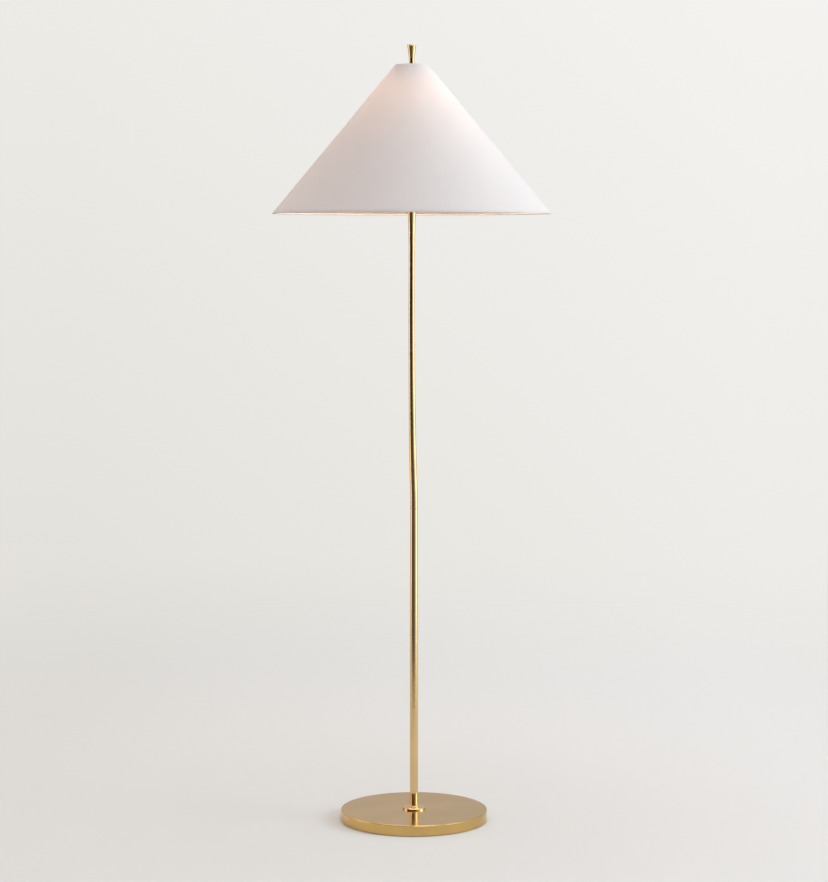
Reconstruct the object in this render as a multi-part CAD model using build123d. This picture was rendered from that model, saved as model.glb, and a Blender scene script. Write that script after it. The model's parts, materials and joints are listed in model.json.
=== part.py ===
from build123d import *
import os
from math import atan, cos, radians, sin

# Floor lamp with a round weighted base, a two-piece brass stem with a slight natural bend,
# and a wide cone shade carried on a harp. Millimetres, +Z up, +X to the viewer's right,
# -Y towards the viewer. The origin is the centre of the base on the floor.

# ---- driving dimensions -----------------------------------------------------------------

# Base: a spun brass cover over an iron weight on a felt pad
BASE_RADIUS = 139.7
BASE_HEIGHT = 21.0
COVER_WALL = 1.2
COVER_EDGE = 1.6
COVER_LIFT = 1.0
PAD_RADIUS = 137.0
PAD_THICKNESS = 2.0
WEIGHT_RADIUS = 138.2
RECESS_RADIUS = 34.0
RECESS_CEILING = 14.0
CHANNEL_WIDTH = 16.0
STUD_HOLE = 5.3

# Lamp thread: plain tube that stands for the 1/8 IP thread, and what is screwed on it
NIPPLE_RADIUS = 4.8
NIPPLE_BORE = 3.3
NIPPLE_FIT = 0.05
NIPPLE_PROUD = 0.5
BASE_NIPPLE_REACH = 18.0
TOP_NIPPLE_REACH = 9.0
NUT_RADIUS = 8.1
NUT_HEIGHT = 3.0
NUT_BEVEL = 0.6
WASHER_RADIUS = 15.0
WASHER_GAUGE = 1.5
LOCK_WASHER_RADIUS = 8.4
LOCK_WASHER_GAUGE = 0.8
LOCK_WASHER_SPLIT = 1.2
LOCK_WASHER_TWIST = 20.0

# Cord inlet in the rear of the base
INLET_HEIGHT = 9.0
INLET_BORE = 3.7
INLET_BARREL = 5.45
INLET_FLANGE = 7.0
INLET_INNER_FLANGE = 6.5
INLET_FLANGE_DEPTH = 1.5
INLET_SLACK = 0.2

# Flange at the foot of the stem
FLANGE_RADIUS = 21.8
FLANGE_THICKNESS = 4.0
FLANGE_SEAT = 3.0
FLANGE_COLLAR = 9.4
FLANGE_COLLAR_HEIGHT = 6.4
FLANGE_BEVEL = 1.2
FLANGE_COVE = 1.6
COLLAR_BEVEL = 0.6

# Stem: straight taper below the joint ring
STEM_FOOT_RADIUS = 7.85
STEM_MIDDLE_RADIUS = 7.62
STEM_JOINT_RADIUS = 7.1
STEM_MIDDLE_Z = 400.0
STEM_BORE = 5.9
JOINT_Z = 598.0
RING_HEIGHT = 2.4
RING_RADIUS = 7.45
RING_BEVEL = 0.6
RING_STEP = 0.5
INSERT_LENGTH = 20.0
COUPLING_MARGIN = 4.0

# Stem above the joint ring: height, sideways offset and radius. It leans gently to one side,
# thins to its waist and flares into a trumpet that carries the lamp head.
HEAD_X = -4.2
STEM_TOP = 1246.0
UPPER_STEM = [
    (JOINT_Z + RING_HEIGHT, 0.0, STEM_JOINT_RADIUS),
    (660.0, -1.1, 6.88),
    (740.0, -2.9, 6.50),
    (835.0, -3.9, 6.02),
    (970.0, -4.4, 5.82),
    (1090.0, HEAD_X, 5.74),
    (1150.0, HEAD_X, 7.15),
    (1200.0, HEAD_X, 10.2),
    (STEM_TOP, HEAD_X, 13.6),
]
UPPER_STEM_WALL = 1.3

# Lamp head, from the neck upwards
NECK_CAP_RADIUS = 14.2
NECK_CAP_THICKNESS = 2.4
NECK_CAP_BEVEL = 0.8
NECK_SPIGOT_RADIUS = 10.9
NECK_SPIGOT_LENGTH = 6.0
SADDLE_Z = STEM_TOP + NECK_CAP_THICKNESS
SADDLE_GAUGE = 1.6
SADDLE_WIDTH = 14.0
SADDLE_FLAT = 19.0
SADDLE_RISE = 13.0
SADDLE_HALF_GAUGE = 0.85
HARP_FOOT = 27.0
POST_RADIUS = 1.6
POST_TOP = SADDLE_Z + 22.6

# Socket: cap, shell, liner, insulating body, screw shell
SOCKET_Z = SADDLE_Z + SADDLE_GAUGE + NUT_HEIGHT
CAP_RADIUS = 17.4
CAP_GAUGE = 0.7
CAP_HUB = 6.6
CAP_HUB_HEIGHT = 6.5
CAP_HUB_WALL = 0.5
CAP_DOME = 9.4
CAP_DOME_Z = SOCKET_Z + 12.4
CAP_TOP = SOCKET_Z + 22.0
SET_SCREW_RADIUS = 1.1
SET_SCREW_RISE = 1.5
SET_SCREW_PROUD = 3.0
SET_SCREW_SLOT = 0.5
SHELL_RADIUS = 16.6
SHELL_GAUGE = 0.6
SHELL_LOW = SOCKET_Z + 18.0
SHELL_TOP = SOCKET_Z + 62.0
SHELL_BEAD = 0.7
LINER_RADIUS = 15.9
LINER_GAUGE = 0.6
LINER_SHORT = 1.5
BODY_RADIUS = 15.0
BODY_LOW = SOCKET_Z + 14.0
BODY_TOP = SOCKET_Z + 36.0
TERMINAL_FLAT = 10.5
TERMINAL_POCKET = 14.0
TERMINAL_Z = SOCKET_Z + 21.0
TERMINAL_SHANK = 1.6
TERMINAL_DEPTH = 4.5
TERMINAL_HEAD = 3.2
TERMINAL_HEAD_GAUGE = 2.4
TERMINAL_SLOT = 0.8
TERMINAL_SLOT_DEPTH = 0.7
SCREW_SHELL_RADIUS = 13.7
SCREW_SHELL_GAUGE = 0.5
SCREW_SHELL_FLOOR = 6.2
SCREW_SHELL_TOP = SHELL_TOP - 2.5
CONTACT_GAUGE = 0.5
CONTACT_GAP = 0.3
CONTACT_HALF_WIDTH = 2.5
CONTACT_FOOT = 5.0
CONTACT_BEND = 3.5
CONTACT_CREST = 1.5

# Switch: shaft and turn key, measured from the lamp's axis towards the front
KEY_Z = SOCKET_Z + 30.0
KEY_HOLE = 3.6
SHAFT_RADIUS = 2.5
SHAFT_CLEARANCE = 0.08
SHAFT_START = 4.0
SHAFT_END = 25.0
BEARING_DEPTH = 3.5
KEY_HUB_RADIUS = 4.2
KEY_HUB_START = 19.0
KEY_HUB_END = 27.0
KEY_MIDDLE = 31.0
KEY_WIDTH = 16.0
KEY_LENGTH = 12.0
KEY_CORNER = 4.0
KEY_HALF_GAUGE = 1.4
KEY_ROUNDING = 0.8

# Bulb: medium screw base and a 60 mm frosted globe
BULB_Z = BODY_TOP + 3.0
BULB_HEIGHT = 108.0
BULB_RADIUS = 30.0
BULB_GLASS = 0.8
BULB_CAP_RADIUS = 12.9
BULB_THREAD_DEPTH = 0.5
BULB_THREAD_PITCH = 3.63
BULB_THREADS = 5
BULB_CAP_Z = BULB_Z + 4.6
BULB_CAP_RIM = 1.2
BULB_CAP_GAUGE = 0.4
BULB_NECK_Z = BULB_Z + 25.0
BULB_NECK_LENGTH = 7.0
BULB_NECK_FLARE = 0.5
BULB_NECK_PULL = (1.6, 32.0)
BULB_BALL_PULL = 25.0
CONTACT_RADIUS = 4.2
CONTACT_HEIGHT = 1.4
CONTACT_ROUNDING = 1.0
INSULATOR_LOW_RADIUS = 5.0
INSULATOR_TOP_RADIUS = 12.3
FILAMENTS = 4
FILAMENT_RADIUS = 0.9
FILAMENT_LOW = (5.0, 14.0)
FILAMENT_HIGH = (9.0, 48.0)

# Glass stem inside the globe: radius, and height from the neck
MOUNT_OUTLINE = [(0, -4), (8.0, -4), (7.0, 0), (3.0, 12), (1.4, 44), (0, 45)]

# Harp, its ferrules and the threaded stud on top
WIRE_RADIUS = 1.5
HARP_LOW = POST_TOP + 0.4
HARP_HALF_WIDTH = 53.0
HARP_LEG = 20.0
HARP_BELLY = (58.0, 92.0)
HARP_SHOULDER = 30.0
HARP_SHOULDER_DROP = 7.0
HARP_LAP = 1.2
HARP_BENDS = [16, 26, 30, 14]
EYELET_Z = 1423.6
EYELET_THICKNESS = 3.2
EYELET_RADIUS = 7.0
SWIVEL_RADIUS = 2.5
SWIVEL_CLEARANCE = 0.1
SWIVEL_GAP = 0.3
FERRULE_BORE = 1.8
FERRULE_RADIUS = 4.0
FERRULE_LENGTH = 14.0
FERRULE_LIFT = 0.4
FERRULE_BEVEL = 0.4
FERRULE_TAPER = 3.0
FERRULE_LIP = 0.8
RIVET_RADIUS = 4.2
RIVET_HEIGHT = 1.6
RIVET_BEVEL = 0.8
SHOULDER_RADIUS = 6.5
STUD_RADIUS = 3.175
STUD_TOP = 1442.2
STUD_BEVEL = 0.6

# Shade: linen laminated on a styrene sheet, wire rings, and a three-armed spider
SHADE_LOW = 1154.4
SHADE_TOP = 1431.9
SHADE_LOW_RADIUS = 262.2
SHADE_TOP_RADIUS = 30.6
LINEN_ACROSS = 0.7
STYRENE_ACROSS = 0.9
RING_WIRE = 1.6
RING_GAP = 0.1
BOTTOM_RING_Z = SHADE_LOW + RING_WIRE + 0.3
TOP_RING_Z = SHADE_TOP - RING_WIRE - 0.4
SPIDER_ARMS = 3
SPIDER_HUB_RADIUS = 11.0
SPIDER_HUB_Z = 1430.0
SPIDER_HUB_THICKNESS = 2.5
SPIDER_HOLE = 3.6
SPIDER_ROD = 1.2
WELD = 0.5

# Finial: an inverted taper on a captive washer
FINIAL_WASHER = 1.2
FINIAL_WASHER_RADIUS = 6.4
FINIAL_WASHER_FIT = 0.15
FINIAL_TOP = 1468.6
FINIAL_TOP_RADIUS = 8.4
FINIAL_LIP = 1.2
FINIAL_BEVEL = 0.3
FINIAL_FOOT_BEVEL = 0.5
FINIAL_HEADROOM = 2.5
FINIAL_DRILL_POINT = 1.8
FINIAL_WAIST_RADIUS = 5.25
FINIAL_WAIST_Z = 1444.0
FINIAL_CLEARANCE = 0.08

# Internal leads
LEAD_RADIUS = 1.1
LEAD_SPACING = 1.25
SPLICE_RADIUS = 3.1
SPLICE_LENGTH = 14.0
SPLICE_X = -16.0
SPLICE_Y = 7.0
SPLICE_Z = 5.6
SPLICE_ROUNDING = 2.0
LEAD_STATIONS = 6
LEAD_RUN = 5.0
LEAD_DROP = 1.3
LEAD_RISE = 8.5
LEAD_TURN = 11.5
LEAD_ACROSS = (11.9, 12.2)
LEAD_SIDE = 0.9
LEAD_END = 3.0
LEAD_LOW_BENDS = [2.4, 3.9]
LEAD_STEM_BEND = 600
LEAD_TOP_BENDS = [2.2, 2.4]

BASE_NUT_Z = RECESS_CEILING - WASHER_GAUGE - LOCK_WASHER_GAUGE - NUT_HEIGHT
SHADE_SLOPE = (SHADE_LOW_RADIUS - SHADE_TOP_RADIUS) / (SHADE_TOP - SHADE_LOW)
LOW = (Align.CENTER, Align.CENTER, Align.MIN)

# How far a cutting body runs past the faces that it cuts
CUT = 5.0


# ---- helpers ----------------------------------------------------------------------------

def turned(*outline, x=0.0):
    """A closed outline of (radius, height) points, turned about a vertical axis at x."""
    profile = make_face(Plane.XZ * Polyline(*outline, close=True))
    return Pos(x, 0, 0) * revolve(profile, axis=Axis.Z)


def rod(radius, low, high, x=0.0):
    """A vertical solid cylinder between two heights."""
    return Pos(x, 0, low) * Cylinder(radius, high - low, align=LOW)


def tube(outer, inner, low, high, x=0.0):
    """A vertical tube between two heights."""
    return rod(outer, low, high, x) - rod(inner, low, high, x)


def rod_along_y(radius, start, end, x, z):
    """A horizontal cylinder from y=start to y=end."""
    middle = (start + end) / 2
    return Pos(x, middle, z) * Rot(90, 0, 0) * Cylinder(radius, abs(end - start))


def rod_along_x(radius, start, end, y, z):
    """A horizontal cylinder from x=start to x=end."""
    middle = (start + end) / 2
    return Pos(middle, y, z) * Rot(0, 90, 0) * Cylinder(radius, abs(end - start))


def hex_nut(low, high, x=0.0):
    """A hexagonal nut on the lamp thread."""
    blank = Pos(x, 0, low) * extrude(RegularPolygon(NUT_RADIUS, 6), high - low)
    blank = chamfer(blank.edges().filter_by(GeomType.LINE).group_by(Axis.Z)[-1], NUT_BEVEL)
    return blank - rod(NIPPLE_RADIUS, low, high, x)


def wire(path, radius):
    """A round wire swept along a path of straight runs and tangent arcs."""
    start = Plane(origin=path @ 0, z_dir=path % 0)
    return sweep(start * Circle(radius), path=path)


def cone_radius(z, across=0.0):
    """Radius of the shade at a height, measured the given distance in from its outside."""
    return SHADE_TOP_RADIUS + SHADE_SLOPE * (SHADE_TOP - z) - across


def ring_radius(z, wire_radius):
    """Radius of a wire ring that rests against the inside of the shade."""
    lean = cos(atan(SHADE_SLOPE))
    return cone_radius(z, LINEN_ACROSS + STYRENE_ACROSS) - wire_radius / lean - RING_GAP


def save(name, shape):
    export_step(shape, f"parts/{name}.step")


# ---- base -------------------------------------------------------------------------------

def base_cover():
    outer = rod(BASE_RADIUS, COVER_LIFT, BASE_HEIGHT)
    outer = fillet(outer.edges().sort_by(Axis.Z)[-1], COVER_EDGE)
    inner = rod(BASE_RADIUS - COVER_WALL, COVER_LIFT, BASE_HEIGHT - COVER_WALL)
    inlet = rod_along_y(INLET_BARREL, BASE_RADIUS - 2 * CUT, BASE_RADIUS + CUT, 0, INLET_HEIGHT)
    return outer - inner - rod(STUD_HOLE, 0, BASE_HEIGHT) - inlet


def base_weight():
    blank = rod(WEIGHT_RADIUS, PAD_THICKNESS, BASE_HEIGHT - COVER_WALL)
    recess = rod(RECESS_RADIUS, PAD_THICKNESS, RECESS_CEILING)
    channel = Pos(0, WEIGHT_RADIUS / 2, PAD_THICKNESS) * Box(
        CHANNEL_WIDTH, WEIGHT_RADIUS + CUT, INLET_HEIGHT + INLET_FLANGE - PAD_THICKNESS, align=LOW
    )
    return blank - recess - channel - rod(STUD_HOLE, 0, BASE_HEIGHT)


def felt_pad():
    return rod(PAD_RADIUS, 0, PAD_THICKNESS)


def base_washer():
    return tube(WASHER_RADIUS, STUD_HOLE, RECESS_CEILING - WASHER_GAUGE, RECESS_CEILING)


def lock_washer():
    """Spring washer with its split left open."""
    top = RECESS_CEILING - WASHER_GAUGE
    ring = tube(LOCK_WASHER_RADIUS, STUD_HOLE, top - LOCK_WASHER_GAUGE, top)
    middle = (STUD_HOLE + LOCK_WASHER_RADIUS) / 2
    split = Box(CUT, LOCK_WASHER_SPLIT, CUT)
    return ring - Pos(middle, 0, top - LOCK_WASHER_GAUGE / 2) * Rot(0, LOCK_WASHER_TWIST, 0) * split


def base_nut():
    return hex_nut(BASE_NUT_Z, BASE_NUT_Z + NUT_HEIGHT)


def base_nipple():
    return tube(NIPPLE_RADIUS, NIPPLE_BORE, BASE_NUT_Z - NIPPLE_PROUD, BASE_HEIGHT + BASE_NIPPLE_REACH)


def base_flange():
    top = BASE_HEIGHT + FLANGE_THICKNESS
    seat = BASE_HEIGHT + FLANGE_SEAT
    collar_top = BASE_HEIGHT + FLANGE_COLLAR_HEIGHT
    socket = STEM_FOOT_RADIUS + NIPPLE_FIT
    return turned(
        (STUD_HOLE, BASE_HEIGHT),
        (FLANGE_RADIUS, BASE_HEIGHT),
        (FLANGE_RADIUS, top - FLANGE_BEVEL),
        (FLANGE_RADIUS - FLANGE_BEVEL, top),
        (FLANGE_COLLAR + FLANGE_COVE, top),
        (FLANGE_COLLAR, top + FLANGE_COVE / 2),
        (FLANGE_COLLAR, collar_top - COLLAR_BEVEL),
        (FLANGE_COLLAR - COLLAR_BEVEL, collar_top),
        (socket, collar_top),
        (socket, seat),
        (STUD_HOLE, seat),
    )


def cord_bushing():
    """Snap bushing with a free bore, its flanges on both sides of the cover's wall."""
    outside = BASE_RADIUS + INLET_FLANGE_DEPTH
    inside = BASE_RADIUS - COVER_WALL - INLET_SLACK
    bushing = rod_along_y(INLET_BARREL, inside, outside, 0, INLET_HEIGHT)
    bushing += rod_along_y(INLET_FLANGE, BASE_RADIUS, outside, 0, INLET_HEIGHT)
    bushing += rod_along_y(
        INLET_INNER_FLANGE, inside - INLET_FLANGE_DEPTH, inside, 0, INLET_HEIGHT
    )
    return bushing - rod_along_y(INLET_BORE, inside - CUT, outside + CUT, 0, INLET_HEIGHT)


def splice_connectors():
    """Two closed-end caps in the recess, where the internal leads meet the supply."""
    caps = []
    for side in (-1, 1):
        cap = rod_along_x(
            SPLICE_RADIUS, SPLICE_X - SPLICE_LENGTH, SPLICE_X, side * SPLICE_Y, SPLICE_Z
        )
        caps.append(fillet(cap.edges().sort_by(Axis.X)[0], SPLICE_ROUNDING))
    return Compound(caps)


# ---- stem -------------------------------------------------------------------------------

def lower_stem():
    foot = BASE_HEIGHT + FLANGE_SEAT
    side = ThreePointArc(
        (STEM_FOOT_RADIUS, foot), (STEM_MIDDLE_RADIUS, STEM_MIDDLE_Z), (STEM_JOINT_RADIUS, JOINT_Z)
    )
    rest = Polyline(
        (STEM_JOINT_RADIUS, JOINT_Z), (STEM_BORE, JOINT_Z), (STEM_BORE, foot), (STEM_FOOT_RADIUS, foot)
    )
    return revolve(make_face(Plane.XZ * (side + rest)), axis=Axis.Z)


def insert(low):
    """Threaded plug soldered in the end of a stem tube."""
    return tube(STEM_BORE, NIPPLE_RADIUS, low, low + INSERT_LENGTH)


def joint_ring():
    """Narrow turned ring between the two lengths of the stem."""
    top = JOINT_Z + RING_HEIGHT
    return turned(
        (NIPPLE_RADIUS, JOINT_Z),
        (STEM_JOINT_RADIUS - RING_STEP, JOINT_Z),
        (RING_RADIUS, JOINT_Z + RING_BEVEL),
        (RING_RADIUS, top - RING_BEVEL),
        (STEM_JOINT_RADIUS - RING_STEP, top),
        (NIPPLE_RADIUS, top),
    )


def stem_coupling():
    reach = INSERT_LENGTH - COUPLING_MARGIN
    return tube(NIPPLE_RADIUS, NIPPLE_BORE, JOINT_Z - reach, JOINT_Z + RING_HEIGHT + reach)


def upper_stem_form(wall):
    """The bent and tapered form, taken in from its outside by a wall thickness."""
    sections = [Pos(x, 0, z) * Circle(radius - wall) for z, x, radius in UPPER_STEM]
    return loft(sections)


def upper_stem():
    foot = JOINT_Z + RING_HEIGHT
    counterbore = rod(STEM_BORE, foot, foot + INSERT_LENGTH)
    return upper_stem_form(0) - upper_stem_form(UPPER_STEM_WALL) - counterbore


def neck_cap():
    """Turned plug that closes the trumpet and takes the top nipple."""
    low = STEM_TOP - NECK_SPIGOT_LENGTH
    return turned(
        (NIPPLE_RADIUS, low),
        (NECK_SPIGOT_RADIUS, low),
        (NECK_SPIGOT_RADIUS, STEM_TOP),
        (NECK_CAP_RADIUS - NECK_CAP_BEVEL / 2, STEM_TOP),
        (NECK_CAP_RADIUS, STEM_TOP + NECK_CAP_BEVEL / 2),
        (NECK_CAP_RADIUS, SADDLE_Z - NECK_CAP_BEVEL),
        (NECK_CAP_RADIUS - NECK_CAP_BEVEL, SADDLE_Z),
        (NIPPLE_RADIUS, SADDLE_Z),
        x=HEAD_X,
    )


def top_nipple():
    return tube(
        NIPPLE_RADIUS, NIPPLE_BORE, STEM_TOP - TOP_NIPPLE_REACH, SOCKET_Z + CAP_HUB_HEIGHT, HEAD_X
    )


# ---- internal leads ---------------------------------------------------------------------

def lead(side):
    """Insulated lead from a splice in the base, up the stem, to a terminal of the socket."""
    y = side * LEAD_SPACING
    low = SPLICE_Z - LEAD_DROP
    foot = [
        (SPLICE_X - WELD, side * SPLICE_Y, SPLICE_Z),
        (SPLICE_X + LEAD_RUN, side * SPLICE_Y, low),
        (0, y, low),
    ]
    climb = [(x, y, z) for z, x, _ in UPPER_STEM[:LEAD_STATIONS]]
    near, far = LEAD_ACROSS
    head = [
        (HEAD_X, y, SOCKET_Z + LEAD_RISE),
        (HEAD_X + side * near, side * LEAD_SIDE, SOCKET_Z + LEAD_TURN),
        (HEAD_X + side * far, 0, TERMINAL_Z - LEAD_END),
    ]
    bends = LEAD_LOW_BENDS + [LEAD_STEM_BEND] * LEAD_STATIONS + LEAD_TOP_BENDS
    return wire(FilletPolyline(*foot, *climb, *head, radius=bends), LEAD_RADIUS)


# ---- lamp head --------------------------------------------------------------------------

def harp_saddle():
    half = [
        (SADDLE_FLAT, 0),
        (HARP_FOOT + SADDLE_HALF_GAUGE, SADDLE_RISE),
        (HARP_FOOT - SADDLE_HALF_GAUGE, SADDLE_RISE),
        (SADDLE_FLAT - SADDLE_HALF_GAUGE, SADDLE_GAUGE),
    ]
    outline = half + [(-x, z) for x, z in reversed(half)]
    strip = extrude(
        make_face(Plane.XZ * Polyline(*outline, close=True)), SADDLE_WIDTH / 2, both=True
    )
    strip = Pos(HEAD_X, 0, SADDLE_Z) * strip
    for side in (-1, 1):
        foot = SADDLE_Z + SADDLE_RISE - WELD
        strip += rod(POST_RADIUS, foot, POST_TOP, HEAD_X + side * HARP_FOOT)
    return strip - rod(STUD_HOLE, SADDLE_Z - CUT, SADDLE_Z + CUT, HEAD_X)


def saddle_nut():
    return hex_nut(SADDLE_Z + SADDLE_GAUGE, SOCKET_Z, HEAD_X)


def socket_cap():
    dome_low = CAP_DOME_Z - CAP_DOME
    centre = CAP_RADIUS - CAP_DOME
    inner = CAP_RADIUS - CAP_GAUGE
    inner_low = dome_low + CAP_GAUGE
    hub = CAP_HUB + CAP_HUB_WALL
    hub_top = SOCKET_Z + CAP_HUB_HEIGHT
    bore = NIPPLE_RADIUS + NIPPLE_FIT
    outline = Polyline(
        (hub, inner_low),
        (hub, hub_top),
        (bore, hub_top),
        (bore, SOCKET_Z),
        (CAP_HUB, SOCKET_Z),
        (CAP_HUB, dome_low),
        (centre, dome_low),
    )
    outline += RadiusArc((centre, dome_low), (CAP_RADIUS, CAP_DOME_Z), -CAP_DOME)
    outline += Polyline(
        (CAP_RADIUS, CAP_DOME_Z),
        (CAP_RADIUS, CAP_TOP),
        (inner, CAP_TOP),
        (inner, CAP_DOME_Z),
    )
    outline += RadiusArc((inner, CAP_DOME_Z), (centre, inner_low), CAP_DOME - CAP_GAUGE)
    outline += Line((centre, inner_low), (hub, inner_low))
    cap = Pos(HEAD_X, 0, 0) * revolve(make_face(Plane.XZ * outline), axis=Axis.Z)
    screw_z = SOCKET_Z + SET_SCREW_RISE
    return cap - rod_along_y(SET_SCREW_RADIUS, CAP_HUB - CUT, CAP_HUB + CUT, HEAD_X, screw_z)


def cap_set_screw():
    """Slotted screw that locks the cap on the nipple, from the rear."""
    z = SOCKET_Z + SET_SCREW_RISE
    end = CAP_HUB + SET_SCREW_PROUD
    screw = rod_along_y(SET_SCREW_RADIUS, NIPPLE_RADIUS + NIPPLE_FIT, end, HEAD_X, z)
    return screw - Pos(HEAD_X, end, z) * Box(CUT, 2 * SET_SCREW_SLOT, SET_SCREW_SLOT)


def key_hole():
    """Clearance for the switch shaft through the front of the shell and the liner."""
    return rod_along_y(KEY_HOLE, CUT - BODY_RADIUS, -CUT - CAP_RADIUS, HEAD_X, KEY_Z)


def socket_shell():
    shell = tube(SHELL_RADIUS, SHELL_RADIUS - SHELL_GAUGE, SHELL_LOW, SHELL_TOP, HEAD_X)
    bead = Pos(HEAD_X, 0, SHELL_TOP) * Torus(SHELL_RADIUS - SHELL_GAUGE / 2, SHELL_BEAD)
    return shell + bead - key_hole()


def socket_liner():
    low = BODY_LOW + LINER_SHORT
    high = SHELL_TOP - LINER_SHORT
    return tube(LINER_RADIUS, LINER_RADIUS - LINER_GAUGE, low, high, HEAD_X) - key_hole()


def socket_body():
    """Insulating body with a flat for each terminal and a bearing for the switch shaft."""
    body = rod(BODY_RADIUS, BODY_LOW, BODY_TOP, HEAD_X)
    pocket = Box(BODY_RADIUS - TERMINAL_FLAT, 2 * BODY_RADIUS, TERMINAL_POCKET, align=LOW)
    middle = (BODY_RADIUS + TERMINAL_FLAT) / 2
    for side in (-1, 1):
        body -= Pos(HEAD_X + side * middle, 0, BODY_LOW) * pocket
        end = HEAD_X + side * (TERMINAL_FLAT - TERMINAL_DEPTH)
        body -= rod_along_x(TERMINAL_SHANK, end, HEAD_X + side * BODY_RADIUS, 0, TERMINAL_Z)
    bearing = SHAFT_RADIUS + SHAFT_CLEARANCE
    return body - rod_along_y(bearing, -BEARING_DEPTH, -BODY_RADIUS - CUT, HEAD_X, KEY_Z)


def terminal_screws():
    """The two binding screws of the socket, one for each lead."""
    screws = []
    for side in (-1, 1):
        seat = HEAD_X + side * TERMINAL_FLAT
        head = seat + side * TERMINAL_HEAD_GAUGE
        screw = rod_along_x(TERMINAL_SHANK, seat - side * TERMINAL_DEPTH, seat, 0, TERMINAL_Z)
        screw += rod_along_x(TERMINAL_HEAD, seat, head, 0, TERMINAL_Z)
        slot = Box(2 * TERMINAL_SLOT_DEPTH, 2 * TERMINAL_HEAD + CUT, TERMINAL_SLOT)
        screws.append(screw - Pos(head, 0, TERMINAL_Z) * slot)
    return Compound(screws)


def screw_shell():
    inner = SCREW_SHELL_RADIUS - SCREW_SHELL_GAUGE
    return turned(
        (SCREW_SHELL_FLOOR, BODY_TOP),
        (SCREW_SHELL_RADIUS, BODY_TOP),
        (SCREW_SHELL_RADIUS, SCREW_SHELL_TOP),
        (inner, SCREW_SHELL_TOP),
        (inner, BODY_TOP + SCREW_SHELL_GAUGE),
        (SCREW_SHELL_FLOOR, BODY_TOP + SCREW_SHELL_GAUGE),
        x=HEAD_X,
    )


def centre_contact():
    """Springy brass tongue in the middle of the socket, arched towards the bulb."""
    rise = BULB_Z - BODY_TOP - CONTACT_GAUGE - CONTACT_GAP
    lean = CONTACT_GAUGE / 2
    under = [(CONTACT_FOOT, 0), (CONTACT_BEND, 0), (CONTACT_CREST, rise)]
    over = [
        (CONTACT_CREST + lean, rise + CONTACT_GAUGE),
        (CONTACT_BEND + lean, CONTACT_GAUGE),
        (CONTACT_FOOT, CONTACT_GAUGE),
    ]
    outline = under + [(-x, z) for x, z in reversed(under)]
    outline += [(-x, z) for x, z in reversed(over)] + over
    strip = make_face(Plane.XZ * Polyline(*outline, close=True))
    return Pos(HEAD_X, 0, BODY_TOP) * extrude(strip, CONTACT_HALF_WIDTH, both=True)


def switch_shaft():
    return rod_along_y(SHAFT_RADIUS, -SHAFT_START, -SHAFT_END, HEAD_X, KEY_Z)


def switch_key():
    """Flat turn key on the end of the switch shaft."""
    hub = rod_along_y(KEY_HUB_RADIUS, -KEY_HUB_START, -KEY_HUB_END, HEAD_X, KEY_Z)
    blade = extrude(RectangleRounded(KEY_WIDTH, KEY_LENGTH, KEY_CORNER), KEY_HALF_GAUGE, both=True)
    faces = blade.edges().group_by(Axis.Z)
    blade = fillet(faces[0] + faces[-1], KEY_ROUNDING)
    key = hub + Pos(HEAD_X, -KEY_MIDDLE, KEY_Z) * blade
    return key - rod_along_y(SHAFT_RADIUS, CUT - KEY_HUB_START, -SHAFT_END, HEAD_X, KEY_Z)


# ---- bulb -------------------------------------------------------------------------------

def bulb_form(inset):
    """Half outline of the globe, turned: a slim neck that swells into a ball."""
    middle = BULB_Z + BULB_HEIGHT - BULB_RADIUS
    radius = BULB_RADIUS - inset
    neck = BULB_CAP_RADIUS - inset
    flare = (neck + BULB_NECK_FLARE, BULB_NECK_Z + BULB_NECK_LENGTH)
    low_pull = (neck + BULB_NECK_PULL[0], middle - BULB_NECK_PULL[1])
    high_pull = (radius, middle - BULB_BALL_PULL)
    outline = Line((0, BULB_NECK_Z), (neck, BULB_NECK_Z))
    outline += Line((neck, BULB_NECK_Z), flare)
    outline += Bezier(flare, low_pull, high_pull, (radius, middle))
    outline += RadiusArc((radius, middle), (0, middle + radius), -radius)
    outline += Line((0, middle + radius), (0, BULB_NECK_Z))
    return Pos(HEAD_X, 0, 0) * revolve(make_face(Plane.XZ * outline), axis=Axis.Z)


def bulb_glass():
    return bulb_form(0) - bulb_form(BULB_GLASS)


def bulb_cap():
    """Screw base, its thread drawn as rounded ridges."""
    crest = BULB_CAP_RADIUS
    root = crest - BULB_THREAD_DEPTH
    half_pitch = BULB_THREAD_PITCH / 2
    start = BULB_CAP_Z + BULB_CAP_RIM
    outline = Line((root, BULB_CAP_Z), (root, start))
    for turn in range(BULB_THREADS):
        low = start + turn * BULB_THREAD_PITCH
        outline += ThreePointArc(
            (root, low), (crest, low + half_pitch), (root, low + BULB_THREAD_PITCH)
        )
    top = start + BULB_THREADS * BULB_THREAD_PITCH
    inner = root - BULB_CAP_GAUGE
    outline += Polyline(
        (root, top),
        (root, BULB_NECK_Z),
        (inner, BULB_NECK_Z),
        (inner, BULB_CAP_Z),
        (root, BULB_CAP_Z),
    )
    return Pos(HEAD_X, 0, 0) * revolve(make_face(Plane.XZ * outline), axis=Axis.Z)


def bulb_insulator():
    low = BULB_Z + CONTACT_HEIGHT
    return turned(
        (0, low),
        (INSULATOR_LOW_RADIUS, low),
        (INSULATOR_TOP_RADIUS, BULB_CAP_Z),
        (0, BULB_CAP_Z),
        x=HEAD_X,
    )


def bulb_contact():
    button = rod(CONTACT_RADIUS, BULB_Z, BULB_Z + CONTACT_HEIGHT, HEAD_X)
    return fillet(button.edges().sort_by(Axis.Z)[0], CONTACT_ROUNDING)


def bulb_mount():
    """Glass stem inside the globe that holds the filaments."""
    return turned(*[(radius, BULB_NECK_Z + z) for radius, z in MOUNT_OUTLINE], x=HEAD_X)


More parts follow.
